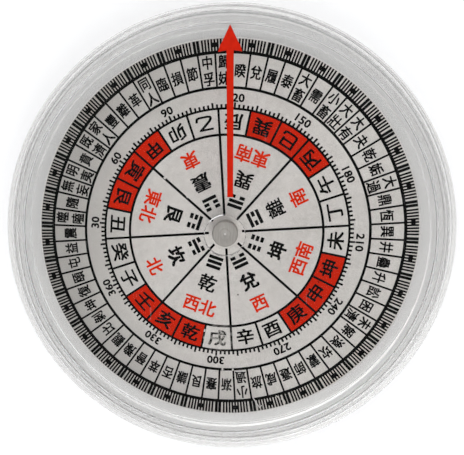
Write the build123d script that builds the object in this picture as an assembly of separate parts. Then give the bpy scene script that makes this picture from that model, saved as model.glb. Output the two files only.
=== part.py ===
from build123d import *
import os

# Round clear case with a printed dial that turns on a riveted hub under a cover with a red arrow.
# Units are millimetres. The origin is on the pivot axis at table level, +Z is up and the arrow
# points along +Y.

# Case, from the outside in
case_r = 55.0
case_height = 13.5
step_bevel = 0.75
step_width = 1.7
step_drop = 2.7
shoulder_width = 1.7
land_width = 1.75
lip_width = 1.15
lip_thk = 1.2
land_rise = 0.6
skirt_thk = 2.3
skirt_gap = 0.4
edge_bevel = 0.25

# Base dish
foot_height = 1.0
foot_width = 1.6
foot_inset = 0.4
flange_inset = 0.6
floor_thk = 1.6
wall_thk = 0.9
wall_web = 0.4
roof_gap = 0.1
turn_fit = 0.08
boss_r = 3.0
boss_height = 0.6
recess_r = 3.0
recess_spare = 0.1

# Snap bead that holds the bezel down on the dish
bead_height = 0.3
bead_span = 1.2
bead_rise = 1.0
groove_spare = 0.25

# Cover and its finger hole
cover_thk = 1.6
cover_fit = 0.05
cover_bevel = 0.2
finger_hole_r = 4.9

# Red arrow, let into the top of the cover
arrow_tip_inset = 0.4
arrow_tail_gap = 4.4
arrow_side_x = 1.3
arrow_head_len = 6.2
arrow_barb_w = 5.6
arrow_shaft_w = 1.7
arrow_thk = 0.4
arrow_fit = 0.05
tail_width_share = 0.82
head_waist_share = 0.72
shoulder_width_share = 0.76
step_out_share = 0.83
barb_sweep_share = 0.05

# Dial
dial_edge_gap = 3.62
dial_thk = 1.4
film_thk = 0.25
film_inset = 0.1
spin_gap = 0.08

# Hub knob
knob_r = 3.2
knob_rise = 4.6
knob_bevel = 0.35
spigot_r = 2.2
spigot_fit = 0.02

# Pivot rivet and its washers
pin_r = 0.9
pin_fit = 0.05
rivet_fit = 0.02
head_r = 1.3
head_thk = 0.5
head_gap = 0.1
centre_mark_r = 0.3
tail_head_r = 2.2
tail_head_thk = 0.5
washer_r = 2.8
steel_washer_thk = 0.3
slip_washer_thk = 0.3

# One overrun serves every cut
overrun = 1.0

# Levels worked out from the stack of pieces
z_under = foot_height
z_floor = z_under + floor_thk
z_boss = z_floor + boss_height
z_slip_top = z_boss + slip_washer_thk
z_dial_under = z_slip_top + spin_gap
z_dial_top = z_dial_under + dial_thk
z_print = z_dial_top + film_thk
z_knob = z_print + knob_rise
z_cover_top = case_height - land_rise
z_cover_under = z_cover_top - cover_thk
z_roof = z_cover_under - lip_thk
z_wall_top = z_roof - roof_gap
z_step = case_height - step_drop
z_skirt = z_floor + skirt_gap
z_bead = z_skirt + bead_rise
z_recess = z_under + tail_head_thk + steel_washer_thk + recess_spare

# Radii worked out from the fits
skirt_in_r = case_r - skirt_thk
wall_out_r = skirt_in_r - turn_fit
wall_in_r = wall_out_r - wall_thk
flange_r = case_r - flange_inset
foot_out_r = flange_r - foot_inset
foot_in_r = foot_out_r - foot_width
shoulder_out_r = case_r - step_width
land_out_r = shoulder_out_r - shoulder_width
seat_r = land_out_r - land_width
lip_in_r = seat_r - lip_width
cover_r = seat_r - cover_fit
dial_r = wall_in_r - dial_edge_gap
arrow_tip_y = cover_r - arrow_tip_inset
arrow_tail_y = finger_hole_r + arrow_tail_gap


def turned(outline):
    """Revolve a closed outline in the XZ plane about the pivot axis."""
    return revolve(make_face(outline), axis=Axis.Z)


def ring(outer_r, inner_r, low, high):
    """A plain ring between two levels."""
    height = high - low
    body = Pos(0, 0, low) * Cylinder(outer_r, height, align=(Align.CENTER, Align.CENTER, Align.MIN))
    hole_low = low - overrun
    hole_height = height + 2 * overrun
    hole = Pos(0, 0, hole_low) * Cylinder(inner_r, hole_height, align=(Align.CENTER, Align.CENTER, Align.MIN))
    return body - hole


def edges_at(body, radius, level):
    """The circular edges of a turned body at one radius and level."""
    circles = body.edges().filter_by(GeomType.CIRCLE)
    tolerance = edge_bevel / 10
    return [e for e in circles if abs(e.radius - radius) < tolerance
            and abs(e.arc_center.Z - level) < tolerance]


# Base dish: foot ring, flange, floor, upright wall with the snap groove, and the pivot boss
def make_base_dish():
    bore_r = pin_r + rivet_fit
    bead_low = z_bead - groove_spare
    bead_high = z_bead + bead_span + groove_spare
    groove_r = wall_out_r - bead_height
    outline = Polyline(
        (bore_r, 0, z_recess), (recess_r, 0, z_recess), (recess_r, 0, z_under),
        (foot_in_r, 0, z_under), (foot_in_r, 0, 0), (foot_out_r, 0, 0),
        (foot_out_r, 0, z_under), (flange_r, 0, z_under), (flange_r, 0, z_floor),
        (wall_out_r, 0, z_floor), (wall_out_r, 0, bead_low),
        (groove_r, 0, bead_low + bead_height), (groove_r, 0, bead_high - bead_height),
        (wall_out_r, 0, bead_high), (wall_out_r, 0, z_wall_top), (wall_in_r, 0, z_wall_top),
        (wall_in_r, 0, z_floor), (boss_r, 0, z_floor), (boss_r, 0, z_boss), (bore_r, 0, z_boss),
        close=True,
    )
    dish = turned(outline)
    dish = chamfer(edges_at(dish, wall_in_r, z_floor), wall_web)
    return chamfer(edges_at(dish, flange_r, z_under) + edges_at(dish, boss_r, z_boss), edge_bevel)


# Bezel: skirt over the dish's wall, outer step, sloped shoulder, top land and the lip under the cover
def make_bezel_ring():
    bead_low = z_bead
    bead_high = z_bead + bead_span
    bead_r = skirt_in_r - bead_height
    outline = Polyline(
        (skirt_in_r, 0, z_skirt), (case_r, 0, z_skirt), (case_r, 0, z_step),
        (shoulder_out_r, 0, z_step), (land_out_r, 0, case_height), (seat_r, 0, case_height),
        (seat_r, 0, z_cover_under), (lip_in_r, 0, z_cover_under), (lip_in_r, 0, z_roof),
        (skirt_in_r, 0, z_roof), (skirt_in_r, 0, bead_high),
        (bead_r, 0, bead_high - bead_height), (bead_r, 0, bead_low + bead_height),
        (skirt_in_r, 0, bead_low),
        close=True,
    )
    bezel = turned(outline)
    bezel = chamfer(edges_at(bezel, case_r, z_step), step_bevel)
    return chamfer(edges_at(bezel, case_r, z_skirt) + edges_at(bezel, seat_r, case_height), edge_bevel)


def arrow_face(grow):
    """The arrow's outline on the XY plane, grown by a clearance all round."""
    half_barb = arrow_barb_w / 2
    half_shaft = arrow_shaft_w / 2
    barb_y = arrow_tip_y - arrow_head_len
    waist_y = arrow_tip_y - arrow_head_len * head_waist_share
    back_y = barb_y + arrow_head_len * barb_sweep_share
    half_shoulder = half_barb * shoulder_width_share
    half_step = half_barb * step_out_share
    right_side = [
        (half_shoulder, waist_y), (half_step, waist_y), (half_barb, barb_y),
        (half_shaft, back_y), (half_shaft * tail_width_share, arrow_tail_y),
    ]
    left_side = [(-x, y) for x, y in reversed(right_side)]
    corners = [(0, arrow_tip_y)] + right_side + left_side
    face = Pos(arrow_side_x, 0) * make_face(Polyline(*corners, close=True))
    if grow:
        face = offset(face, amount=grow, kind=Kind.INTERSECTION)
    return face


# Cover: clear disc with bevelled rim, the finger hole and the arrow's shallow pocket
def make_cover_disc():
    outline = Polyline(
        (finger_hole_r, 0, z_cover_under), (cover_r, 0, z_cover_under),
        (cover_r, 0, z_cover_top - cover_bevel), (cover_r - cover_bevel, 0, z_cover_top),
        (finger_hole_r + cover_bevel, 0, z_cover_top), (finger_hole_r, 0, z_cover_top - cover_bevel),
        close=True,
    )
    pocket_floor = z_cover_top - arrow_thk
    pocket = extrude(Pos(0, 0, pocket_floor) * arrow_face(arrow_fit), arrow_thk + overrun)
    return turned(outline) - pocket


def make_pointer_arrow():
    return extrude(Pos(0, 0, z_cover_top - arrow_thk) * arrow_face(0), arrow_thk)


# Dial: clear disc with the printed film on top, both pressed on the knob's spigot
def make_dial_disc():
    return ring(dial_r, spigot_r + spigot_fit, z_dial_under, z_dial_top)


def make_dial_film():
    return ring(dial_r - film_inset, spigot_r + spigot_fit, z_dial_top, z_print)


# Knob: bevelled head, spigot down through the dial, bore and counterbore for the rivet
def make_hub_knob():
    bore_r = pin_r + pin_fit
    counterbore_r = head_r + head_gap
    z_counterbore = z_knob - head_thk - head_gap
    outline = Polyline(
        (bore_r, 0, z_dial_under), (spigot_r, 0, z_dial_under), (spigot_r, 0, z_print),
        (knob_r, 0, z_print), (knob_r, 0, z_knob - knob_bevel), (knob_r - knob_bevel, 0, z_knob),
        (counterbore_r, 0, z_knob), (counterbore_r, 0, z_counterbore), (bore_r, 0, z_counterbore),
        close=True,
    )
    return turned(outline)


# Rivet: lower head under the dish, shank, and the upper head set flush in the knob
def make_pivot_rivet():
    z_tail_top = z_recess - steel_washer_thk
    z_tail = z_tail_top - tail_head_thk
    z_head = z_knob - head_thk
    outline = Polyline(
        (0, 0, z_tail), (tail_head_r, 0, z_tail), (tail_head_r, 0, z_tail_top), (pin_r, 0, z_tail_top),
        (pin_r, 0, z_head), (head_r, 0, z_head), (head_r, 0, z_knob), (centre_mark_r, 0, z_knob),
        (0, 0, z_knob - centre_mark_r),
        close=True,
    )
    return turned(outline)


def make_rivet_washer():
    return ring(washer_r, pin_r + pin_fit, z_recess - steel_washer_thk, z_recess)


def make_thrust_washer():
    return ring(washer_r, pin_r + pin_fit, z_boss, z_slip_top)


parts = {
    "base_dish": make_base_dish(),
    "bezel_ring": make_bezel_ring(),
    "cover_disc": make_cover_disc(),
    "pointer_arrow": make_pointer_arrow(),
    "dial_disc": make_dial_disc(),
    "dial_film": make_dial_film(),
    "hub_knob": make_hub_knob(),
    "pivot_rivet": make_pivot_rivet(),
    "rivet_washer": make_rivet_washer(),
    "thrust_washer": make_thrust_washer(),
}

os.makedirs("parts", exist_ok=True)
for name, solid in parts.items():
    solid.label = name
    export_step(solid, f"parts/{name}.step")
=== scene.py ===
"""Looks of the feng shui compass: clear case, printed dial on a riveted hub, and the red arrow."""

import logging
import math
from dataclasses import dataclass, field
from enum import Enum

import bmesh
import bpy
from mathutils import Matrix, Vector


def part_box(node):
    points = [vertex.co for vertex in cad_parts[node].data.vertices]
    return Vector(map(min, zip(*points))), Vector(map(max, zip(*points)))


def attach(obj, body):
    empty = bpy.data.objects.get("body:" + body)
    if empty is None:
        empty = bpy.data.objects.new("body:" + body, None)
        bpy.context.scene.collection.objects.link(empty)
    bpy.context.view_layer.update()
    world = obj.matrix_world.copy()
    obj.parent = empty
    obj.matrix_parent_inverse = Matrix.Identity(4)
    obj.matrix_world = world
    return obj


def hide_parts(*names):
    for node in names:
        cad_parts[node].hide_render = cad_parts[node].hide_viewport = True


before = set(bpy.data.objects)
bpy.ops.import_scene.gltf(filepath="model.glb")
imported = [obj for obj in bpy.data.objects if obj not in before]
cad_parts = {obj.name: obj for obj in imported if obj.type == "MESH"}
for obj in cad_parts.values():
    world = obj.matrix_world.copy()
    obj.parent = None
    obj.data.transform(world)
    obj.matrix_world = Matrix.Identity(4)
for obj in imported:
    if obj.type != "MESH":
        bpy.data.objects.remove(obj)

log = logging.getLogger("compass")

# Sizes below are in millimetres and bearings in degrees; a mesh and its welds are in metres
MM = 0.001
WELD = 1e-6
CIRCLE = 360
FULL_TURN = 2 * math.pi

Pair = tuple[float, float]
Triple = tuple[float, float, float]
Socket = bpy.types.NodeSocket


class Tops(Enum):
    """Which way the top of a printed character points."""

    OUTWARD = 0
    TO_CENTRE = 180


class Ride(Enum):
    """The moving bodies of the frame."""

    CASE = "case"
    DIAL = "dial"
    COVER = "cover"


class Layers(Enum):
    """How many layers a cloudy pattern has, each finer than the last."""

    ONE = 1.0
    TWO = 2.0
    THREE = 3.0


@dataclass(frozen=True)
class Corner:
    """One corner of a turned outline: its radius, level and the radius of its rounding."""

    radius: float
    level: float
    soft: float = 0.0


@dataclass(frozen=True)
class Span:
    """The outer radius and the two levels of a round CAD node."""

    radius: float
    low: float
    high: float
    hair = 0.001

    @classmethod
    def of(cls, node: str) -> "Span":
        """Read a span from the frame.

        Args:
            node: name of a CAD node centred on the pivot axis.

        Returns:
            Its radius, less a hair's breadth, and its levels in millimetres.
        """
        low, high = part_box(node)
        return cls(high.x / MM - cls.hair, low.z / MM, high.z / MM)


def finished_piece(name: str, bm: bmesh.types.BMesh, smooth: bool) -> bpy.types.Object:
    """Turn a bmesh into an object of the scene.

    Args:
        name: name of the new piece.
        bm: the shape, which is freed here.
        smooth: whether the faces are shaded as curved ones.

    Returns:
        The new object, at the origin.
    """
    bmesh.ops.recalc_face_normals(bm, faces=bm.faces[:])
    mesh = bpy.data.meshes.new(name)
    bm.to_mesh(mesh)
    bm.free()
    for face in mesh.polygons:
        face.use_smooth = smooth
    piece = bpy.data.objects.new(name, mesh)
    bpy.context.scene.collection.objects.link(piece)
    if smooth:
        flats = piece.modifiers.new("flats_stay_flat", "WEIGHTED_NORMAL")
        flats.keep_sharp = True
    return piece


def turned_piece(name: str, corners: list[Corner], steps: int = 480, rounding: int = 4) -> bpy.types.Object:
    """Turn a closed outline round the pivot axis.

    Args:
        name: name of the new piece.
        corners: the outline's corners, in order.
        steps: facets round the full turn.
        rounding: facets in each rounded corner.

    Returns:
        The turned piece.
    """
    bm = bmesh.new()
    ends = [bm.verts.new((c.radius * MM, 0, c.level * MM)) for c in corners]
    for start, end in zip(ends, ends[1:] + ends[:1]):
        bm.edges.new((start, end))
    for corner, end in zip(corners, ends):
        if corner.soft:
            bmesh.ops.bevel(bm, geom=[end], offset=corner.soft * MM, offset_type="OFFSET",
                            affect="VERTICES", segments=rounding, profile=0.5, material=-1)
    bmesh.ops.spin(bm, geom=bm.verts[:] + bm.edges[:], cent=(0, 0, 0), axis=(0, 0, 1), dvec=(0, 0, 0),
                   angle=FULL_TURN, steps=steps, use_merge=True, use_normal_flip=False, use_duplicate=False)
    bmesh.ops.remove_doubles(bm, verts=bm.verts[:], dist=WELD)
    return finished_piece(name, bm, smooth=True)


class Recipe:
    """A material or a sky while its nodes are being laid out."""

    def __init__(self, name: str, sky: bool = False) -> None:
        """Start an empty material or sky.

        Args:
            name: its name.
            sky: whether it is a sky, whose places are directions.
        """
        self.owner = (bpy.data.worlds if sky else bpy.data.materials).new(name)
        self.owner.use_nodes = True
        self.tree = self.owner.node_tree
        self.tree.nodes.clear()
        self.output = self.tree.nodes.new("ShaderNodeOutputWorld" if sky else "ShaderNodeOutputMaterial")
        self.place = self.tree.nodes.new("ShaderNodeTexCoord").outputs["Generated" if sky else "Object"]

    def feed(self, target: Socket, value: object) -> None:
        """Feed an input of a node.

        Args:
            target: the input.
            value: a socket to link, or a value to set; a colour gets its alpha here.
        """
        if isinstance(value, Socket):
            self.tree.links.new(value, target)
        elif target.type == "RGBA":
            target.default_value = (*value, 1)
        else:
            target.default_value = value

    def node(self, kind: str, settings: dict[str, object] | None = None, **inputs: object) -> bpy.types.Node:
        """Add a node.

        Args:
            kind: the node's type.
            settings: the node's own properties.
            inputs: what feeds its inputs, by name, with spaces as underscores.

        Returns:
            The new node.
        """
        made = self.tree.nodes.new(kind)
        for key, value in (settings or {}).items():
            setattr(made, key, value)
        for key, value in inputs.items():
            self.feed(made.inputs[key.replace("_", " ")], value)
        return made

    def pair(self, kind: str, operation: str, first: object, second: object) -> bpy.types.Node:
        """Add a node that works on two values.

        Args:
            kind: the node's type.
            operation: its operation, such as MULTIPLY.
            first: a value or a socket.
            second: a value or a socket.

        Returns:
            The new node.
        """
        made = self.node(kind, {"operation": operation})
        for target, value in zip(made.inputs, (first, second)):
            self.feed(target, value)
        return made

    def math(self, operation: str, first: object, second: object) -> Socket:
        """Work out one sum of two values."""
        return self.pair("ShaderNodeMath", operation, first, second).outputs["Value"]

    def noise(self, size: float, layers: Layers = Layers.TWO, stretch: Triple | None = None) -> Socket:
        """Add a cloudy pattern.

        Args:
            size: size of its spots in millimetres.
            layers: how many layers it has.
            stretch: scale along each axis, where the spots aren't round.

        Returns:
            The pattern's value, about 0.5 on average.
        """
        source = self.place
        if stretch is not None:
            source = self.node("ShaderNodeMapping", Vector=self.place, Scale=stretch).outputs["Vector"]
        pattern = self.node("ShaderNodeTexNoise", Vector=source, Scale=1 / (size * MM), Detail=layers.value)
        return pattern.outputs["Fac"]

    def remap(self, value: Socket, source: Pair = (0.0, 1.0), low: float = 0.0, high: float = 1.0) -> Socket:
        """Map a value from one range to another, clamped.

        Args:
            value: the value to map.
            source: where the range begins and ends.
            low: result at the beginning.
            high: result at the end.

        Returns:
            The mapped value.
        """
        return self.node("ShaderNodeMapRange", Value=value, From_Min=source[0], From_Max=source[1],
                         To_Min=low, To_Max=high).outputs["Result"]

    def blend(self, share: Socket, first: object, second: object) -> Socket:
        """Blend two colours.

        Args:
            share: share of the second colour.
            first: a colour or a socket.
            second: a colour or a socket.

        Returns:
            The blended colour.
        """
        made = self.node("ShaderNodeMix", {"data_type": "RGBA"}, Factor=share)
        # Inputs 6 and 7 and output 2 of this node are its colour ones
        for target, value in zip(made.inputs[6:8], (first, second)):
            self.feed(target, value)
        return made.outputs[2]

    def distance_from(self, place: Pair) -> Socket:
        """Measure how far a point of the surface is from an upright line.

        Args:
            place: the line's place in millimetres.

        Returns:
            The distance in metres.
        """
        flat = self.pair("ShaderNodeVectorMath", "MULTIPLY", self.place, (1, 1, 0)).outputs["Vector"]
        line = (place[0] * MM, place[1] * MM, 0)
        return self.pair("ShaderNodeVectorMath", "DISTANCE", flat, line).outputs["Value"]

    def fade(self, place: Pair, start: float, end: float, low: float = 1.0, high: float = 0.0) -> Socket:
        """Map the distance from an upright line.

        Args:
            place: the line's place in millimetres.
            start: where the fade begins, in millimetres from the line.
            end: where it ends.
            low: result up to its beginning.
            high: result from its end on.

        Returns:
            The mapped value.
        """
        return self.remap(self.distance_from(place), (start * MM, end * MM), low, high)

    def bump(self, height: Socket, depth: float) -> Socket:
        """Turn a pattern into relief of a depth in millimetres."""
        relief = self.node("ShaderNodeBump", Height=height, Distance=depth * MM, Strength=1.0)
        return relief.outputs["Normal"]

    def along(self, bearing: float) -> Socket:
        """Measure how far a place lies towards a clockwise bearing, on the level.

        Args:
            bearing: the bearing.

        Returns:
            The distance, or the share of a direction.
        """
        angle = math.radians(bearing)
        towards = (math.sin(angle), math.cos(angle), 0)
        return self.pair("ShaderNodeVectorMath", "DOT_PRODUCT", self.place, towards).outputs["Value"]

    def surface(self, **inputs: object) -> Socket:
        """Add the main shader."""
        return self.node("ShaderNodeBsdfPrincipled", **inputs).outputs["BSDF"]

    def mixed(self, share: Socket, first: Socket, second: Socket) -> Socket:
        """Mix two shaders.

        Args:
            share: share of the second shader.
            first: a shader.
            second: a shader.

        Returns:
            The mixed shader.
        """
        made = self.node("ShaderNodeMixShader", Fac=share)
        for target, value in zip(made.inputs[1:], (first, second)):
            self.feed(target, value)
        return made.outputs["Shader"]

    def close(self, surface: Socket) -> bpy.types.ID:
        """Join the surface to the output and hand over the material or sky."""
        self.feed(self.output.inputs["Surface"], surface)
        return self.owner


@dataclass(frozen=True)
class ClearPlastic:
    """Moulded clear plastic with faint moulding waves, a little haze and fine scuffs, and where asked a
    painted highlight: a milky patch that stands in for a glint.
    """

    name: str
    tint: Triple = (0.928, 0.925, 0.918)
    milky: Triple = (0.74, 0.735, 0.72)
    let_through: Triple = (0.91, 0.908, 0.904)
    roughness: float = 0.14
    matt_edge: Pair = (0.0, 0.0)
    matt_roughness: float = 0.55
    chipped_at: Pair = (0.0, 0.0)
    chipped_reach: float = 0.0
    chipped_core: float = 0.7
    index: float = 1.5
    haze: float = 0.05
    scuffs: float = 0.08
    scuff_size: float = 0.35
    scuff_stretch: Triple = (1.0, 0.06, 1.0)
    scuff_cut: Pair = (0.68, 0.76)
    scuffed_size: float = 14.0
    scuffed_cut: Pair = (0.52, 0.62)
    fringe: float = 0.16
    wave_size: float = 9.0
    wave_depth: float = 0.0006

    def material(self) -> bpy.types.Material:
        """Build the material; lamps shine through it, tinted, by way of its shadow rays.

        Returns:
            The material.
        """
        recipe = Recipe(self.name)
        waves = recipe.bump(recipe.noise(self.wave_size, Layers.ONE), self.wave_depth)
        out = recipe.distance_from((0, 0))
        roughness = self.roughness
        if any(self.matt_edge):
            start, end = (radius * MM for radius in self.matt_edge)
            past = recipe.math("GREATER_THAN", out, start)
            matt = recipe.math("MULTIPLY", past, recipe.math("LESS_THAN", out, end))
            roughness = recipe.remap(matt, low=self.roughness, high=self.matt_roughness)
        streaks = recipe.noise(self.scuff_size, Layers.ONE, self.scuff_stretch)
        places = recipe.noise(self.scuffed_size)
        marks = recipe.math("MULTIPLY", recipe.remap(streaks, self.scuff_cut, high=self.scuffs),
                            recipe.remap(places, self.scuffed_cut))
        # Painted highlight: a milky patch along the finger hole's edge stands in for a glint of light
        if self.chipped_reach:
            glint_zone = recipe.math("LESS_THAN", out, (math.hypot(*self.chipped_at) + self.fringe) * MM)
            near = recipe.fade(self.chipped_at, self.chipped_reach * self.chipped_core, self.chipped_reach)
            marks = recipe.math("MAXIMUM", marks, recipe.math("MULTIPLY", glint_zone, near))
        clearness = recipe.remap(recipe.math("ADD", marks, self.haze), low=1.0, high=0.0)
        body = recipe.surface(Base_Color=recipe.blend(marks, self.tint, self.milky), Roughness=roughness,
                              IOR=self.index, Transmission_Weight=clearness, Normal=waves)
        lamp_path = recipe.node("ShaderNodeBsdfTransparent", Color=self.let_through).outputs["BSDF"]
        shadow = recipe.node("ShaderNodeLightPath").outputs["Is Shadow Ray"]
        return recipe.close(recipe.mixed(shadow, body, lamp_path))


@dataclass(frozen=True)
class MattFilm:
    """Warm pale grey film with a fine grain, soft clouds, a whiter cut edge and painted shade darkening it
    towards one side.
    """

    colour: Triple = (0.785, 0.755, 0.72)
    cloud: Triple = (0.62, 0.593, 0.56)
    grubby: Triple = (0.47, 0.452, 0.428)
    cut_edge: Triple = (0.8, 0.79, 0.77)
    roughness: float = 0.5
    cloud_size: float = 11.0
    cloud_share: float = 0.45
    mottle_size: float = 1.4
    mottle_share: float = 0.3
    soft_cut: Pair = (0.35, 0.7)
    grain_size: float = 0.28
    grain_cut: Pair = (0.3, 0.7)
    grain_shares: Pair = (-0.3, 0.5)
    grain_depth: float = 0.01
    clean_place: Pair = (18.0, 0.0)
    clean_reach: Pair = (38.0, 60.0)
    edge_radius: float = 47.66
    edge_fade: float = 0.1

    def material(self) -> bpy.types.Material:
        """Build the film's material.

        Returns:
            The material.
        """
        recipe = Recipe("matt_film")
        grain = recipe.noise(self.grain_size)
        clouds = recipe.noise(self.cloud_size, Layers.THREE)
        mottle = recipe.noise(self.mottle_size)
        depth = recipe.math("ADD", recipe.remap(clouds, self.soft_cut, high=self.cloud_share),
                            recipe.remap(mottle, self.soft_cut, high=self.mottle_share))
        depth = recipe.math("ADD", depth, recipe.remap(grain, self.grain_cut, *self.grain_shares))
        tone = recipe.blend(depth, self.colour, self.cloud)
        # Painted shade: the film grows darker towards one side, away from clean_place
        shade_share = recipe.fade(self.clean_place, *self.clean_reach, low=0.0, high=1.0)
        tone = recipe.blend(shade_share, tone, self.grubby)
        rim = recipe.fade((0, 0), self.edge_radius, self.edge_radius + self.edge_fade, low=0.0, high=1.0)
        tone = recipe.blend(rim, tone, self.cut_edge)
        return recipe.close(recipe.surface(Base_Color=tone, Roughness=self.roughness,
                                           Normal=recipe.bump(grain, self.grain_depth)))


@dataclass(frozen=True)
class PrintInk:
    """Screen printed ink, slightly uneven, rubbed thin in one place."""

    name: str
    colour: Triple
    thin: Triple
    bare: Triple = (0.5, 0.48, 0.45)
    roughness: float = 0.6
    sheen: float = 0.03
    uneven_size: float = 0.9
    uneven_cut: Pair = (0.45, 0.8)
    uneven_share: float = 0.6
    worn_at: Pair = (-1.5, -27.5)
    worn_reach: float = 4.6
    worn_core: float = 0.35
    rubbed_size: float = 0.8
    rubbed_cut: Pair = (0.44, 0.6)
    rubbed_shares: Pair = (0.06, 0.78)

    def material(self) -> bpy.types.Material:
        """Build the ink's material.

        Returns:
            The material.
        """
        recipe = Recipe(self.name)
        uneven = recipe.noise(self.uneven_size, Layers.THREE)
        tone = recipe.blend(recipe.remap(uneven, self.uneven_cut, high=self.uneven_share),
                            self.colour, self.thin)
        near = recipe.fade(self.worn_at, self.worn_reach * self.worn_core, self.worn_reach)
        patches = recipe.noise(self.rubbed_size, Layers.THREE)
        rubbed = recipe.math("MULTIPLY", near, recipe.remap(patches, self.rubbed_cut, *self.rubbed_shares))
        tone = recipe.blend(rubbed, tone, self.bare)
        return recipe.close(recipe.surface(Base_Color=tone, Roughness=self.roughness,
                                           Specular_IOR_Level=self.sheen))


@dataclass(frozen=True)
class RedPlastic:
    """Flat red plastic of the arrow, with a faint sheen and fine mottling."""

    colour: Triple = (0.5, 0.013, 0.002)
    deep: Triple = (0.42, 0.011, 0.002)
    roughness: float = 0.45
    sheen: float = 0.1
    mottle_size: float = 1.1
    mottle_cut: Pair = (0.4, 0.75)
    relief_size: float = 0.3
    relief_depth: float = 0.004

    def material(self) -> bpy.types.Material:
        """Build the arrow's material.

        Returns:
            The material.
        """
        recipe = Recipe("red_plastic")
        mottle = recipe.remap(recipe.noise(self.mottle_size), self.mottle_cut)
        relief = recipe.bump(recipe.noise(self.relief_size, Layers.ONE), self.relief_depth)
        return recipe.close(recipe.surface(Base_Color=recipe.blend(mottle, self.colour, self.deep),
                                           Roughness=self.roughness, Specular_IOR_Level=self.sheen,
                                           Normal=relief))


@dataclass(frozen=True)
class GreyHub:
    """Satin grey of the knob and the rivet's head: brushed one way, with a pale painted highlight over the
    rivet's centre mark.
    """

    colour: Triple = (0.365, 0.345, 0.315)
    streak: Triple = (0.295, 0.28, 0.255)
    mark: Triple = (0.62, 0.6, 0.57)
    roughness: float = 0.48
    brush_size: float = 0.22
    brush_stretch: Triple = (1.0, 0.08, 0.4)
    brush_cut: Pair = (0.35, 0.7)
    brush_depth: float = 0.006
    mark_radius: float = 0.3
    mark_fade: Pair = (0.6, 1.1)

    def material(self) -> bpy.types.Material:
        """Build the hub's material.

        Returns:
            The material.
        """
        recipe = Recipe("grey_hub")
        brushed = recipe.noise(self.brush_size, Layers.TWO, self.brush_stretch)
        tone = recipe.blend(recipe.remap(brushed, self.brush_cut), self.colour, self.streak)
        # Painted highlight: the pale colour over the rivet's centre mark stands in for a glint on it
        middle = recipe.fade((0, 0), *(self.mark_radius * share for share in self.mark_fade))
        tone = recipe.blend(middle, tone, self.mark)
        return recipe.close(recipe.surface(Base_Color=tone, Roughness=self.roughness,
                                           Normal=recipe.bump(brushed, self.brush_depth)))


@dataclass(frozen=True)
class PlainSheet:
    """Thin sheet of one colour with a fine grain: a washer, or rubbed film."""

    name: str
    colour: Triple
    worn: Triple
    roughness: float
    metallic: float = 0.0
    grain_size: float = 0.15
    grain_cut: Pair = (0.35, 0.7)
    grain_depth: float = 0.004

    def material(self) -> bpy.types.Material:
        """Build the sheet's material.

        Returns:
            The material.
        """
        recipe = Recipe(self.name)
        grain = recipe.noise(self.grain_size)
        tone = recipe.blend(recipe.remap(grain, self.grain_cut), self.colour, self.worn)
        return recipe.close(recipe.surface(Base_Color=tone, Roughness=self.roughness,
                                           Metallic=self.metallic,
                                           Normal=recipe.bump(grain, self.grain_depth)))


def dress(piece: bpy.types.Object, finish: bpy.types.Material, body: Ride, slot: str, *nodes: str) -> None:
    """Give a new piece its finish and its place in the frame.

    Args:
        piece: the new piece.
        finish: its material.
        body: the body that it moves with.
        slot: the record's material slot; not used.
        nodes: the CAD nodes that it stands for.
    """
    piece.data.materials.append(finish)
    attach(piece, body.value)
    if nodes:
        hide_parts(*nodes)
    log.info("%s rides on %s, %d faces", piece.name, body.value, len(piece.data.polygons))


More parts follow.
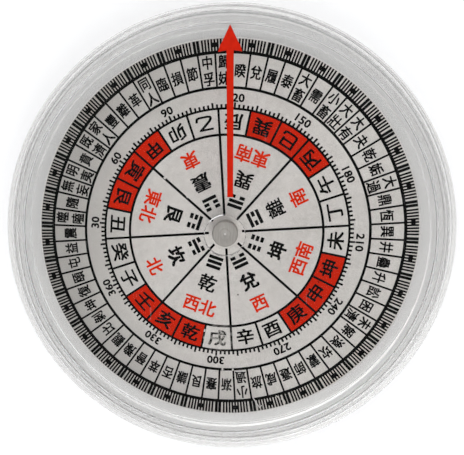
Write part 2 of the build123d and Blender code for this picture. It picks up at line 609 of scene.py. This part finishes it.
@dataclass
class ClearCase:
    """The clear shell: dish, stepped bezel with its snap bead, and cover disc."""

    bore: float = 0.92
    recess: float = 3.0
    recess_level: float = 1.91
    floor_low: float = 1.0
    floor_high: float = 2.6
    boss_high: float = 3.19
    foot_inner: float = 52.4
    foot_outer: float = 54.0
    foot_web: float = 0.1
    wall_outer: float = 52.62
    wall_inner: float = 51.72
    wall_web: float = 0.5
    groove: Triple = (3.75, 5.45, 0.3)
    skirt_inner: float = 52.7
    skirt_soft: float = 0.25
    bead: Triple = (4.0, 5.2, 0.3)
    step: float = 10.8
    step_soft: float = 0.8
    shoulder: float = 53.3
    shoulder_web: float = 0.35
    land: float = 51.6
    land_soft: float = 0.5
    seat: float = 49.85
    seat_soft: float = 0.2
    lip: float = 48.7
    lip_low: float = 10.1
    lip_high: float = 11.27
    lip_web: float = 0.1
    roof_web: float = 0.3
    finger_hole: float = 4.9
    cover_under_soft: float = 0.1
    cover_soft: float = 0.2
    fine: float = 0.15
    seat_spare: float = 0.02
    cover_spare: float = 0.1
    dish: Span = field(default_factory=lambda: Span.of("base_dish"))
    bezel: Span = field(default_factory=lambda: Span.of("bezel_ring"))
    cover: Span = field(default_factory=lambda: Span.of("cover_disc"))

    def dish_piece(self) -> bpy.types.Object:
        """Turn the dish with its foot, flange, grooved wall and boss.

        Returns:
            The dish.
        """
        low, high, depth = self.groove
        return turned_piece("clear_dish", [
            Corner(self.bore, self.recess_level),
            Corner(self.recess, self.recess_level, self.fine),
            Corner(self.recess, self.floor_low, self.fine),
            Corner(self.foot_inner, self.floor_low, self.fine),
            Corner(self.foot_inner, self.dish.low, self.fine),
            Corner(self.foot_outer, self.dish.low, self.fine),
            Corner(self.foot_outer, self.floor_low, self.foot_web),
            Corner(self.dish.radius, self.floor_low, self.fine),
            Corner(self.dish.radius, self.floor_high, self.fine),
            Corner(self.wall_outer, self.floor_high, self.fine),
            Corner(self.wall_outer, low),
            Corner(self.wall_outer - depth, low + depth),
            Corner(self.wall_outer - depth, high - depth),
            Corner(self.wall_outer, high),
            Corner(self.wall_outer, self.dish.high, self.fine),
            Corner(self.wall_inner, self.dish.high, self.fine),
            Corner(self.wall_inner, self.floor_high, self.wall_web),
            Corner(self.recess, self.floor_high, self.fine),
            Corner(self.recess, self.boss_high, self.fine),
            Corner(self.bore, self.boss_high),
        ])

    def bezel_piece(self) -> bpy.types.Object:
        """Turn the bezel with its step, sloped shoulder, land, lip and snap bead.

        Returns:
            The bezel.
        """
        low, high, depth = self.bead
        return turned_piece("clear_bezel", [
            Corner(self.skirt_inner, self.bezel.low, self.fine),
            Corner(self.bezel.radius, self.bezel.low, self.skirt_soft),
            Corner(self.bezel.radius, self.step, self.step_soft),
            Corner(self.shoulder, self.step, self.shoulder_web),
            Corner(self.land, self.bezel.high, self.land_soft),
            Corner(self.seat, self.bezel.high, self.seat_soft),
            Corner(self.seat, self.lip_high, self.lip_web),
            Corner(self.lip, self.lip_high, self.fine),
            Corner(self.lip, self.lip_low, self.fine),
            Corner(self.skirt_inner, self.lip_low, self.roof_web),
            Corner(self.skirt_inner, high),
            Corner(self.skirt_inner - depth, high - depth),
            Corner(self.skirt_inner - depth, low + depth),
            Corner(self.skirt_inner, low),
        ])

    def cover_piece(self) -> bpy.types.Object:
        """Turn the cover disc with its finger hole.

        Returns:
            The cover.
        """
        return turned_piece("clear_cover", [
            Corner(self.finger_hole, self.cover.low, self.fine),
            Corner(self.cover.radius, self.cover.low, self.cover_under_soft),
            Corner(self.cover.radius, self.cover.high, self.cover_soft),
            Corner(self.finger_hole, self.cover.high, self.cover_soft),
        ])

    def build(self) -> None:
        """Model and dress the three clear pieces."""
        shell = ClearPlastic("clear_shell").material()
        seat = (self.lip - self.seat_spare, self.seat + self.seat_spare)
        rim = ClearPlastic("clear_rim", matt_edge=seat).material()
        edge = (self.cover.radius - self.cover_spare, self.cover.radius + self.cover_spare)
        # The lid carries a painted highlight: a milky patch on the upper left edge of the finger hole
        lid = ClearPlastic("clear_lid", tint=(0.95, 0.948, 0.944), milky=(0.95, 0.95, 0.94),
                           let_through=(0.97, 0.97, 0.97), roughness=0.03, haze=0.001, matt_edge=edge,
                           chipped_at=(-2.1, 4.43), chipped_reach=2.1).material()
        dress(self.dish_piece(), shell, Ride.CASE, "clear_case", "base_dish")
        dress(self.bezel_piece(), rim, Ride.COVER, "clear_bezel", "bezel_ring")
        dress(self.cover_piece(), lid, Ride.COVER, "clear_cover", "cover_disc")


@dataclass
class RedArrow:
    """The flat red arrow let into the cover's top."""

    side_x: float = 1.3
    head_length: float = 6.2
    barb_width: float = 5.6
    shaft_width: float = 1.7
    tail_share: float = 0.82
    waist_share: float = 0.72
    shoulder_share: float = 0.76
    step_share: float = 0.83
    sweep_share: float = 0.05
    proud: float = 0.02
    edge: float = 0.06
    edge_facets: int = 2

    def outline(self) -> list[Pair]:
        """Work out the arrow's corners from its sizes.

        Returns:
            The corners in millimetres, clockwise from the tip.
        """
        low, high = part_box("pointer_arrow")
        tip = high.y / MM
        barb = tip - self.head_length
        half = self.barb_width / 2
        shaft = self.shaft_width / 2
        right = [
            (half * self.shoulder_share, tip - self.head_length * self.waist_share),
            (half * self.step_share, tip - self.head_length * self.waist_share),
            (half, barb),
            (shaft, barb + self.head_length * self.sweep_share),
            (shaft * self.tail_share, low.y / MM),
        ]
        left = [(-x, y) for x, y in reversed(right)]
        return [(self.side_x + x, y) for x, y in [(0, tip)] + right + left]

    def build(self) -> None:
        """Model and dress the arrow."""
        low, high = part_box("pointer_arrow")
        bm = bmesh.new()
        face = bm.faces.new([bm.verts.new((x * MM, y * MM, low.z)) for x, y in self.outline()])
        grown = bmesh.ops.extrude_face_region(bm, geom=[face])["geom"]
        top = [part for part in grown if isinstance(part, bmesh.types.BMVert)]
        bmesh.ops.translate(bm, verts=top, vec=(0, 0, high.z - low.z + self.proud * MM))
        rim = [edge for edge in bm.edges if all(end in top for end in edge.verts)]
        bmesh.ops.bevel(bm, geom=rim, offset=self.edge * MM, offset_type="OFFSET", affect="EDGES",
                        segments=self.edge_facets, profile=0.5, material=-1)
        arrow = finished_piece("red_arrow", bm, smooth=False)
        dress(arrow, RedPlastic().material(), Ride.COVER, "red_arrow", "pointer_arrow")


@dataclass
class DialPlate:
    """The clear disc that turns in the case, and the printed film on it."""

    bore: float = 2.22
    air: float = 0.02
    disc_soft: float = 0.15
    film_soft: float = 0.06
    steps: int = 240
    disc: Span = field(default_factory=lambda: Span.of("dial_disc"))
    film: Span = field(default_factory=lambda: Span.of("dial_film"))

    def ring(self, name: str, radius: float, low: float, high: float, soft: float) -> bpy.types.Object:
        """Turn a flat ring.

        Args:
            name: name of the piece.
            radius: its outer radius.
            low: its lower level.
            high: its upper level.
            soft: rounding of its outer edges.

        Returns:
            The ring.
        """
        return turned_piece(name, [
            Corner(self.bore, low),
            Corner(radius, low, soft),
            Corner(radius, high, soft),
            Corner(self.bore, high),
        ], self.steps)

    def build(self) -> None:
        """Model and dress the disc and the film."""
        disc = self.ring("clear_dial", self.disc.radius, self.disc.low, self.disc.high, self.disc_soft)
        film_low = self.disc.high + self.air
        film = self.ring("printed_film", self.film.radius, film_low, self.film.high, self.film_soft)
        dress(disc, ClearPlastic("clear_dial", scuffs=0.1).material(), Ride.DIAL, "clear_dial", "dial_disc")
        dress(film, MattFilm().material(), Ride.DIAL, "printed_film", "dial_film")


@dataclass
class Hub:
    """The grey knob on the dial, the rivet that it turns on, and the rivet's two washers."""

    bore: float = 0.95
    spigot: float = 2.2
    knob_edge: float = 0.1
    knob_soft: float = 0.35
    knob_steps: int = 96
    recess: float = 1.4
    recess_depth: float = 0.6
    recess_soft: float = 0.05
    air: float = 0.02
    shank: float = 0.9
    head: float = 1.385
    head_thickness: float = 0.5
    head_soft: float = 0.08
    tail: float = 2.2
    tail_thickness: float = 0.5
    tail_soft: float = 0.2
    mark: float = 0.3
    rivet_steps: int = 64
    knob: Span = field(default_factory=lambda: Span.of("hub_knob"))
    rivet: Span = field(default_factory=lambda: Span.of("pivot_rivet"))
    film: Span = field(default_factory=lambda: Span.of("dial_film"))

    def knob_piece(self) -> bpy.types.Object:
        """Turn the knob with its spigot and the recess for the rivet's head.

        Returns:
            The knob.
        """
        recess_level = self.knob.high - self.recess_depth
        seat = self.film.high + self.air
        return turned_piece("grey_knob", [
            Corner(self.bore, self.knob.low),
            Corner(self.spigot, self.knob.low, self.knob_edge),
            Corner(self.spigot, seat),
            Corner(self.knob.radius, seat, self.knob_edge),
            Corner(self.knob.radius, self.knob.high, self.knob_soft),
            Corner(self.recess, self.knob.high, self.recess_soft),
            Corner(self.recess, recess_level),
            Corner(self.bore, recess_level),
        ], self.knob_steps)

    def rivet_piece(self) -> bpy.types.Object:
        """Turn the rivet with both heads and its centre mark.

        Returns:
            The rivet.
        """
        tail_top = self.rivet.low + self.tail_thickness
        head_low = self.knob.high - self.head_thickness
        return turned_piece("pivot_rivet_turned", [
            Corner(0, self.rivet.low),
            Corner(self.tail, self.rivet.low, self.tail_soft),
            Corner(self.tail, tail_top),
            Corner(self.shank, tail_top),
            Corner(self.shank, head_low),
            Corner(self.head, head_low),
            Corner(self.head, self.rivet.high, self.head_soft),
            Corner(self.mark, self.rivet.high),
            Corner(0, self.rivet.high - self.mark),
        ], self.rivet_steps)

    def build(self) -> None:
        """Model and dress the hub, and finish the two washers of the frame."""
        grey = GreyHub().material()
        dress(self.knob_piece(), grey, Ride.DIAL, "grey_knob", "hub_knob")
        dress(self.rivet_piece(), grey, Ride.CASE, "rivet_metal", "pivot_rivet")
        steel = PlainSheet("washer_steel", (0.58, 0.57, 0.55), (0.42, 0.41, 0.4), 0.3, metallic=1.0)
        nylon = PlainSheet("washer_nylon", (0.86, 0.85, 0.8), (0.78, 0.77, 0.72), 0.5)
        for node, finish in (("rivet_washer", steel), ("thrust_washer", nylon)):
            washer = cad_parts[node]
            washer.material_slots[0].link = "OBJECT"
            washer.material_slots[0].material = finish.material()
            log.info("%s kept from the frame", node)


class Print:
    """One printed sheet of marks on the film, gathered in a single mesh."""

    _letters: dict[str, bpy.types.Mesh] = {}
    _nudges: tuple[tuple[int, int], ...] = ((-1, -1), (-1, 1), (1, -1), (1, 1))
    _layer_step = 0.12
    _curve_steps = 2
    _sliver = 1e-4
    _fine_weld = 1e-7

    def __init__(self, name: str, thickness: float = 0.03, north: float = 244.32) -> None:
        """Start an empty sheet on top of the film.

        Args:
            name: name of the piece.
            thickness: height of the ink.
            north: clockwise angle of the dial's bearing 0 from the arrow, as the dial lies at rest.
        """
        self.name = name
        self.low = Span.of("dial_film").high
        self.thickness = thickness
        self.north = north
        self.bm = bmesh.new()

    def at(self, bearing: float, radius: float, tops: Tops = Tops.OUTWARD) -> Matrix:
        """Find a place on the dial.

        Args:
            bearing: bearing of the place.
            radius: its distance from the pivot.
            tops: which way its own +Y points.

        Returns:
            The matrix that carries a mark drawn at the origin, in metres, to that place.
        """
        swing = Matrix.Rotation(-math.radians(self.north + bearing), 4, "Z")
        out = Matrix.Translation((0, radius * MM, (self.low + self.thickness / 2) * MM))
        return swing @ out @ Matrix.Rotation(math.radians(tops.value), 4, "Z")

    def bar(self, bearing: float, radius: float, wide: float, long: float, aside: float = 0.0) -> None:
        """Print a straight bar.

        Args:
            bearing: bearing of its middle.
            radius: radius of its middle.
            wide: its size across the radius.
            long: its size along the radius.
            aside: how far it is moved across the radius.
        """
        size = Matrix.Diagonal((wide * MM, long * MM, self.thickness * MM, 1))
        place = self.at(bearing, radius) @ Matrix.Translation((aside * MM, 0, 0)) @ size
        bmesh.ops.create_cube(self.bm, size=1.0, matrix=place)

    def line(self, bearing: float, inner: float, outer: float, wide: float) -> None:
        """Print a line along a radius, from one radius to another."""
        self.bar(bearing, (inner + outer) / 2, wide, outer - inner)

    def scratch(self, x: float, y: float, turn: float, long: float, wide: float) -> None:
        """Print a short bar anywhere on the dial.

        Args:
            x: place of its middle, as the dial lies at rest.
            y: place of its middle, as the dial lies at rest.
            turn: anticlockwise turn of its length from +X.
            long: its length.
            wide: its width.
        """
        place = Matrix.Translation((x * MM, y * MM, (self.low + self.thickness / 2) * MM))
        place = place @ Matrix.Rotation(math.radians(turn), 4, "Z")
        size = Matrix.Diagonal((long * MM, wide * MM, self.thickness * MM, 1))
        bmesh.ops.create_cube(self.bm, size=1.0, matrix=place @ size)

    def _section(self, start: float, inner: float, outer: float) -> list[bmesh.types.BMVert]:
        """Make the four corners of a flat band's cross section.

        Args:
            start: its bearing.
            inner: the band's inner radius.
            outer: the band's outer radius.

        Returns:
            The corners, in order.
        """
        place = self.at(start, 0)
        half = self.thickness / 2
        corners = ((inner, -half), (outer, -half), (outer, half), (inner, half))
        return [self.bm.verts.new(place @ Vector((0, r * MM, z * MM))) for r, z in corners]

    def ring(self, radius: float, wide: float, steps: int = 360) -> None:
        """Print a full circle.

        Args:
            radius: radius of its middle.
            wide: width of the line.
            steps: facets round the circle.
        """
        ends = self._section(0, radius - wide / 2, radius + wide / 2)
        edges = [self.bm.edges.new(pair) for pair in zip(ends, ends[1:] + ends[:1])]
        bmesh.ops.spin(self.bm, geom=ends + edges, cent=(0, 0, 0), axis=(0, 0, 1), dvec=(0, 0, 0),
                       angle=FULL_TURN, steps=steps, use_merge=True, use_normal_flip=False,
                       use_duplicate=False)

    def patch(self, start: float, end: float, inner: float, outer: float) -> None:
        """Fill the space between two bearings and two radii.

        Args:
            start: the first bearing.
            end: the last bearing, clockwise.
            inner: the inner radius.
            outer: the outer radius.
        """
        face = self.bm.faces.new(self._section(start, inner, outer))
        bmesh.ops.spin(self.bm, geom=[face], cent=(0, 0, 0), axis=(0, 0, 1), dvec=(0, 0, 0),
                       angle=-math.radians(end - start), steps=max(1, round(end - start)), use_merge=False,
                       use_normal_flip=False, use_duplicate=False)

    def _letter_mesh(self, text: str) -> bpy.types.Mesh:
        """Make the mesh of a word, once for each word, and clean the slivers from its outlines.

        Args:
            text: the word.

        Returns:
            The word's mesh, one unit high and thick.
        """
        if text not in self._letters:
            curve = bpy.data.curves.new("letters", "FONT")
            curve.body = text
            curve.align_x = "CENTER"
            curve.resolution_u = self._curve_steps
            curve.extrude = 0.5
            holder = bpy.data.objects.new("letters", curve)
            mesh = bpy.data.meshes.new_from_object(holder)
            bpy.data.objects.remove(holder)
            bpy.data.curves.remove(curve)
            shape = bmesh.new()
            shape.from_mesh(mesh)
            bmesh.ops.remove_doubles(shape, verts=shape.verts[:], dist=WELD)
            bmesh.ops.dissolve_degenerate(shape, dist=self._sliver, edges=shape.edges[:])
            shape.to_mesh(mesh)
            shape.free()
            self._letters[text] = mesh
        return self._letters[text]

    def word(self, text: str, place: Matrix, size: Pair, weight: Pair, middle: float = 0.375) -> None:
        """Print a word in the plain built-in typeface.

        Args:
            text: the word.
            place: where its middle goes.
            size: width and height of a full character.
            weight: how far its strokes are thickened sideways and upwards, as a share of the size.
            middle: level of a character's middle over its baseline, as a share of its height.
        """
        scale = Matrix.Diagonal((size[0] * MM, size[1] * MM, self.thickness * MM, 1))
        for layer, (aside, up) in enumerate(self._nudges):
            mesh = self._letter_mesh(text).copy()
            shift = (aside * weight[0], up * weight[1] - middle, layer * self._layer_step)
            mesh.transform(place @ scale @ Matrix.Translation(shift))
            self.bm.from_mesh(mesh)
            bpy.data.meshes.remove(mesh)

    def lay(self, finish: bpy.types.Material) -> None:
        """Finish the sheet as a piece that rides on the dial.

        Args:
            finish: its ink.
        """
        bmesh.ops.remove_doubles(self.bm, verts=self.bm.verts[:], dist=self._fine_weld)
        piece = finished_piece(self.name, self.bm, smooth=False)
        dress(piece, finish, Ride.DIAL, "printed_film")


@dataclass
class TickRing:
    """The outer ring of 384 fine lines, with a doubled bar and a crossed mark by turns."""

    inner: float = 44.42
    outer: float = 47.62
    count: int = 384
    period: int = 12
    line_width: float = 0.45
    bar_width: float = 0.72
    bar_aside: float = 0.44
    cross_inner: float = 45.7
    cross_outer: float = 46.8

    def build(self, black: bpy.types.Material) -> None:
        """Print the ring.

        Args:
            black: the black ink.
        """
        sheet = Print("tick_ring_print")
        pitch = CIRCLE / self.count
        middle = (self.inner + self.outer) / 2
        for number in range(self.count):
            phase = number % self.period - self.period // 2
            if abs(phase) > 1:
                sheet.line(number * pitch, self.inner, self.outer, self.line_width)
            elif phase == 0:
                for aside in (-self.bar_aside, self.bar_aside):
                    sheet.bar(number * pitch, middle, self.bar_width, self.outer - self.inner, aside)
            if number % self.period == 0:
                sheet.patch((number - 1) * pitch, (number + 1) * pitch, self.cross_inner, self.cross_outer)
        sheet.lay(black)


@dataclass
class HexagramRing:
    """The ring of 64 traditional hexagram names, each in its own cell."""

    inner: float = 35.9
    outer: float = 44.42
    inner_width: float = 0.66
    outer_width: float = 0.78
    wall_width: float = 0.48
    name_radius: float = 40.0
    upper_radius: float = 42.1
    lower_radius: float = 38.1
    size: Pair = (2.85, 3.5)
    weight: Pair = (0.028, 0.021)
    names: str = (
        "復 頤 屯 益 震 噬嗑 隨 無妄 明夷 賁 既濟 家人 豐 離 革 同人 "
        "臨 損 節 中孚 歸妹 睽 兌 履 泰 大畜 需 小畜 大壯 大有 夬 乾 "
        "姤 大過 鼎 恆 巽 井 蠱 升 訟 困 未濟 解 渙 坎 蒙 師 "
        "遯 咸 旅 小過 漸 蹇 艮 謙 否 萃 晉 豫 觀 比 剝 坤"
    )

    def build(self, black: bpy.types.Material) -> None:
        """Print the cells and the names.

        Args:
            black: the black ink.
        """
        cells = Print("hexagram_cells_print")
        letters = Print("hexagram_names_print")
        cells.ring(self.inner, self.inner_width)
        cells.ring(self.outer, self.outer_width)
        names = self.names.split()
        pitch = CIRCLE / len(names)
        for number, name in enumerate(names):
            cells.line(number * pitch, self.inner, self.outer, self.wall_width)
            radii = [self.name_radius] if len(name) == 1 else [self.upper_radius, self.lower_radius]
            for letter, radius in zip(name, radii):
                letters.word(letter, letters.at((number + 0.5) * pitch, radius), self.size, self.weight)
        cells.lay(black)
        letters.lay(black)


@dataclass
class DegreeRing:
    """The degree scale: a tick every 2 degrees, a longer one every 10 and a number every 30."""

    base: float = 30.82
    base_width: float = 0.54
    short_end: float = 31.9
    long_end: float = 32.35
    tick_width: float = 0.5
    tick_step: int = 2
    long_step: int = 10
    number_step: int = 30
    number_radius: float = 33.5
    size: Pair = (3.05, 2.75)
    weight: Pair = (0.026, 0.026)
    middle: float = 0.345

    def build(self, black: bpy.types.Material) -> None:
        """Print the scale and its numbers.

        Args:
            black: the black ink.
        """
        scale = Print("degree_scale_print")
        numbers = Print("degree_numbers_print")
        scale.ring(self.base, self.base_width)
        for degree in range(0, CIRCLE, self.tick_step):
            end = self.short_end if degree % self.long_step else self.long_end
            scale.line(degree, self.base, end, self.tick_width)
        for degree in range(self.number_step, CIRCLE + 1, self.number_step):
            place = numbers.at(degree, self.number_radius)
            numbers.word(str(degree), place, self.size, self.weight, self.middle)
        scale.lay(black)
        numbers.lay(black)


@dataclass
class MountainRing:
    """The ring of 24 traditional mountain signs, on bare film and on red by runs of three."""

    inner: float = 24.42
    outer: float = 30.82
    ring_width: float = 0.62
    wall_width: float = 0.56
    name_radius: float = 27.56
    size: Pair = (4.75, 4.35)
    weight: Pair = (0.024, 0.02)
    names: str = "子癸丑艮寅甲卯乙辰巽巳丙午丁未坤申庚酉辛戌乾亥壬"
    run: int = 3

    def build(self, black: bpy.types.Material, red: bpy.types.Material) -> None:
        """Print the walls, the red runs and the signs.

        Args:
            black: the black ink.
            red: the red ink.
        """
        walls = Print("mountain_walls_print")
        fills = Print("mountain_fills_print", thickness=0.02)
        signs = Print("mountain_signs_print")
        walls.ring(self.inner, self.ring_width)
        pitch = CIRCLE / len(self.names)
        for number, sign in enumerate(self.names):
            middle = number * pitch
            walls.line(middle + pitch / 2, self.inner, self.outer, self.wall_width)
            if number % (2 * self.run) == self.run:
                fills.patch(middle - pitch / 2, middle + (self.run - 0.5) * pitch, self.inner, self.outer)
            signs.word(sign, signs.at(middle, self.name_radius, Tops.TO_CENTRE), self.size, self.weight)
        fills.lay(red)
        walls.lay(black)
        signs.lay(black)


@dataclass
class SectorField:
    """The eight sectors: direction in red, trigram name in black and its figure of three bars."""

    inner: float = 4.2
    outer: float = 24.42
    wall_width: float = 0.62
    direction_radius: float = 20.1
    direction_size: Pair = (4.35, 4.35)
    direction_weight: Pair = (0.024, 0.024)
    name_radius: float = 13.85
    name_size: Pair = (4.6, 4.6)
    figure_radii: Triple = (6.97, 8.18, 9.4)
    bar_length: float = 3.75
    bar_height: float = 0.84
    gap_length: float = 1.1
    sectors: tuple[tuple[str, str, str, Pair], ...] = (
        ("北", "坎", "010", (0.034, 0.03)), ("東北", "艮", "100", (0.034, 0.03)),
        ("東", "震", "001", (0.034, 0.015)), ("東南", "巽", "110", (0.026, 0.016)),
        ("南", "離", "101", (0.022, 0.01)), ("西南", "坤", "000", (0.034, 0.03)),
        ("西", "兌", "011", (0.034, 0.03)), ("西北", "乾", "111", (0.026, 0.018)),
    )

    def figure(self, sheet: Print, bearing: float, lines: str) -> None:
        """Print a trigram from the centre outwards.

        Args:
            sheet: the sheet that takes it.
            bearing: its bearing.
            lines: one sign for each bar, 1 whole and 0 broken.
        """
        half = (self.bar_length - self.gap_length) / 2
        for radius, kind in zip(self.figure_radii, lines):
            if kind == "1":
                sheet.bar(bearing, radius, self.bar_length, self.bar_height)
                continue
            for side in (-1, 1):
                sheet.bar(bearing, radius, half, self.bar_height, side * (self.gap_length + half) / 2)

    def build(self, black: bpy.types.Material, red: bpy.types.Material) -> None:
        """Print the sectors.

        Args:
            black: the black ink.
            red: the red ink.
        """
        walls = Print("sector_walls_print")
        figures = Print("trigram_figures_print")
        names = Print("trigram_names_print")
        directions = Print("direction_names_print")
        pitch = CIRCLE / len(self.sectors)
        for number, (direction, name, lines, weight) in enumerate(self.sectors):
            middle = number * pitch
            walls.line(middle + pitch / 2, self.inner, self.outer, self.wall_width)
            self.figure(figures, middle, lines)
            names.word(name, names.at(middle, self.name_radius, Tops.TO_CENTRE), self.name_size, weight)
            directions.word(direction, directions.at(middle, self.direction_radius, Tops.TO_CENTRE),
                            self.direction_size, self.direction_weight)
        for sheet in (walls, figures, names):
            sheet.lay(black)
        directions.lay(red)


@dataclass
class Wear:
    """Scratches through the print and specks on it: place, turn, length and width of each."""

    thickness: float = 0.05
    pale: tuple[tuple[float, ...], ...] = (
        (-0.79, -35.86, 0, 0.45, 0.6), (1.92, -35.9, 10, 0.4, 0.6), (4.0, -36.3, 3, 2.7, 0.3),
        (7.5, -43.95, -58, 1.6, 0.24), (8.45, -45.4, -56, 1.7, 0.26), (9.2, -45.6, 48, 0.7, 0.2),
        (13.4, -42.9, -40, 0.9, 0.24), (14.6, -43.4, 35, 0.7, 0.22), (15.3, -44.1, -62, 0.8, 0.2),
        (-15.27, 13.78, 48, 0.5, 0.6), (-9.6, 9.0, 40, 0.4, 0.5), (0.2, -40.4, 80, 1.5, 0.16),
        (5.4, -33.1, 20, 0.5, 0.3), (6.6, -33.7, -30, 0.6, 0.25), (6.0, -34.3, 60, 0.4, 0.25),
        (-5.35, -25.6, 70, 0.7, 0.35), (-5.5, -27.5, 80, 0.6, 0.3), (-5.1, -28.9, 60, 0.9, 0.4),
    )
    dark: tuple[tuple[float, ...], ...] = (
        (3.2, -16.1, 0, 0.35, 0.3), (23.4, -12.6, 20, 0.3, 0.3), (-21.2, 33.0, 0, 0.3, 0.25),
    )

    def build(self, bare: bpy.types.Material, black: bpy.types.Material) -> None:
        """Lay the marks.

        Args:
            bare: the colour of the rubbed film.
            black: the black ink.
        """
        for name, marks, finish in (("wear_marks", self.pale, bare), ("dark_specks", self.dark, black)):
            sheet = Print(name, self.thickness)
            for mark in marks:
                sheet.scratch(*mark)
            sheet.lay(finish)


@dataclass
class Studio:
    """The pale floor, the soft light and the camera."""

    floor_half: float = 3000.0
    floor_colour: Triple = (0.97, 0.97, 0.97)
    floor_roughness: float = 0.9
    floor_glow: float = 0.42
    white: Triple = (1.0, 1.0, 1.0)
    sky_colour: Triple = (0.98, 0.99, 1.02)
    sky_top: float = 0.04
    sky_side: float = 1.56
    sky_line: float = 164.0
    line_share: float = 0.46
    fore_share: float = 0.14
    dark_cap: Pair = (0.76, 0.92)
    lamp_colour: Triple = (1.0, 0.985, 0.95)
    lamp_tilt: float = 51.0
    key_strength: float = 0.62
    key_angle: float = 48.0
    key_from: float = 150.0
    glint_strength: float = 0.09
    glint_angle: float = 0.8
    frame_width: float = 464
    frame_height: float = 455
    focal: float = 600
    axis_x: float = 185.85
    axis_y: float = 233.31
    sensor: float = 36
    nearest: float = 10.0
    eye: Triple = (3.142, 17.699, 156.964)
    turn: Triple = (-6.7965, 4.9227, -0.5069)

    def floor(self) -> None:
        """Lay the pale floor."""
        bm = bmesh.new()
        bmesh.ops.create_grid(bm, x_segments=1, y_segments=1, size=self.floor_half * MM)
        ground = finished_piece("floor", bm, smooth=False)
        recipe = Recipe("pale_floor")
        paper = recipe.surface(Base_Color=self.floor_colour, Roughness=self.floor_roughness)
        white = recipe.node("ShaderNodeEmission", Color=self.white, Strength=1.0).outputs["Emission"]
        path = recipe.node("ShaderNodeLightPath").outputs
        seen = recipe.math("MAXIMUM", path["Is Camera Ray"], path["Is Glossy Ray"])
        seen = recipe.math("MAXIMUM", seen, path["Is Transmission Ray"])
        glow = recipe.math("MULTIPLY", seen, self.floor_glow)
        ground.data.materials.append(recipe.close(recipe.mixed(glow, paper, white)))

    def lamp(self, name: str, strength: float, size: float, bearing: float) -> None:
        """Hang a far lamp.

        Args:
            name: name of the lamp.
            strength: its strength.
            size: its apparent size in degrees.
            bearing: clockwise bearing that it shines from.
        """
        lamp = bpy.data.lights.new(name, "SUN")
        lamp.energy = strength
        lamp.color = self.lamp_colour
        lamp.angle = math.radians(size)
        holder = bpy.data.objects.new(name, lamp)
        bpy.context.scene.collection.objects.link(holder)
        holder.rotation_euler = (math.radians(self.lamp_tilt), 0, -math.radians(bearing - CIRCLE / 2))

    def light(self) -> None:
        """Set a sky brighter along one line and dark overhead, the soft key lamp and a small glint."""
        sky = Recipe("soft_sky", sky=True)
        height = sky.node("ShaderNodeSeparateXYZ", Vector=sky.place).outputs["Z"]
        start, end = self.dark_cap
        level = sky.node("ShaderNodeMapRange", {"interpolation_type": "SMOOTHSTEP"}, Value=height,
                         From_Min=start, From_Max=end, To_Min=self.sky_side, To_Max=self.sky_top)
        fore, side = (sky.along(self.sky_line + turn) for turn in (0, CIRCLE / 4))
        line = sky.math("SUBTRACT", sky.math("MULTIPLY", fore, fore), sky.math("MULTIPLY", side, side))
        share = sky.math("ADD", sky.math("MULTIPLY", line, self.line_share),
                         sky.math("MULTIPLY", fore, self.fore_share))
        strength = sky.math("MULTIPLY", level.outputs["Result"], sky.math("ADD", share, 1.0))
        light = sky.node("ShaderNodeBackground", Color=self.sky_colour, Strength=strength)
        bpy.context.scene.world = sky.close(light.outputs["Background"])
        self.lamp("key_lamp", self.key_strength, self.key_angle, self.key_from)
        self.lamp("glint_lamp", self.glint_strength, self.glint_angle, self.sky_line)

    def camera(self) -> None:
        """Set the camera at the photograph's view."""
        lens = bpy.data.cameras.new("camera")
        lens.sensor_width = self.sensor
        lens.lens = self.focal / self.frame_width * self.sensor
        lens.shift_x = (self.frame_width / 2 - self.axis_x) / self.frame_width
        lens.shift_y = (self.axis_y - self.frame_height / 2) / self.frame_width
        lens.clip_start = self.nearest * MM
        holder = bpy.data.objects.new("camera", lens)
        holder.location = Vector(self.eye) * MM
        holder.rotation_euler = [math.radians(angle) for angle in self.turn]
        bpy.context.scene.collection.objects.link(holder)
        bpy.context.scene.camera = holder

    def build(self) -> None:
        """Set up the whole stage."""
        self.floor()
        self.light()
        self.camera()
        bpy.context.scene.view_settings.view_transform = "Standard"


def main() -> None:
    """Build every piece round the frame."""
    logging.basicConfig(level=logging.INFO, format="%(name)s: %(message)s")
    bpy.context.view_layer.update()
    black = PrintInk("black_ink", (0.002, 0.002, 0.002), (0.006, 0.0055, 0.005)).material()
    red = PrintInk("red_ink", (0.66, 0.018, 0.001), (0.55, 0.016, 0.001), worn_at=(-4.6, -27.2),
                   worn_reach=1.5).material()
    bright_red = PrintInk("bright_red_ink", (0.8, 0.028, 0.002), (0.7, 0.025, 0.002)).material()
    ClearCase().build()
    RedArrow().build()
    DialPlate().build()
    Hub().build()
    TickRing().build(black)
    HexagramRing().build(black)
    DegreeRing().build(black)
    MountainRing().build(black, red)
    SectorField().build(black, bright_red)
    bare = PlainSheet("bare_film", (0.74, 0.72, 0.7), (0.6, 0.58, 0.55), 0.5).material()
    Wear().build(bare, black)
    Studio().build()


if __name__ == "__main__":
    main()
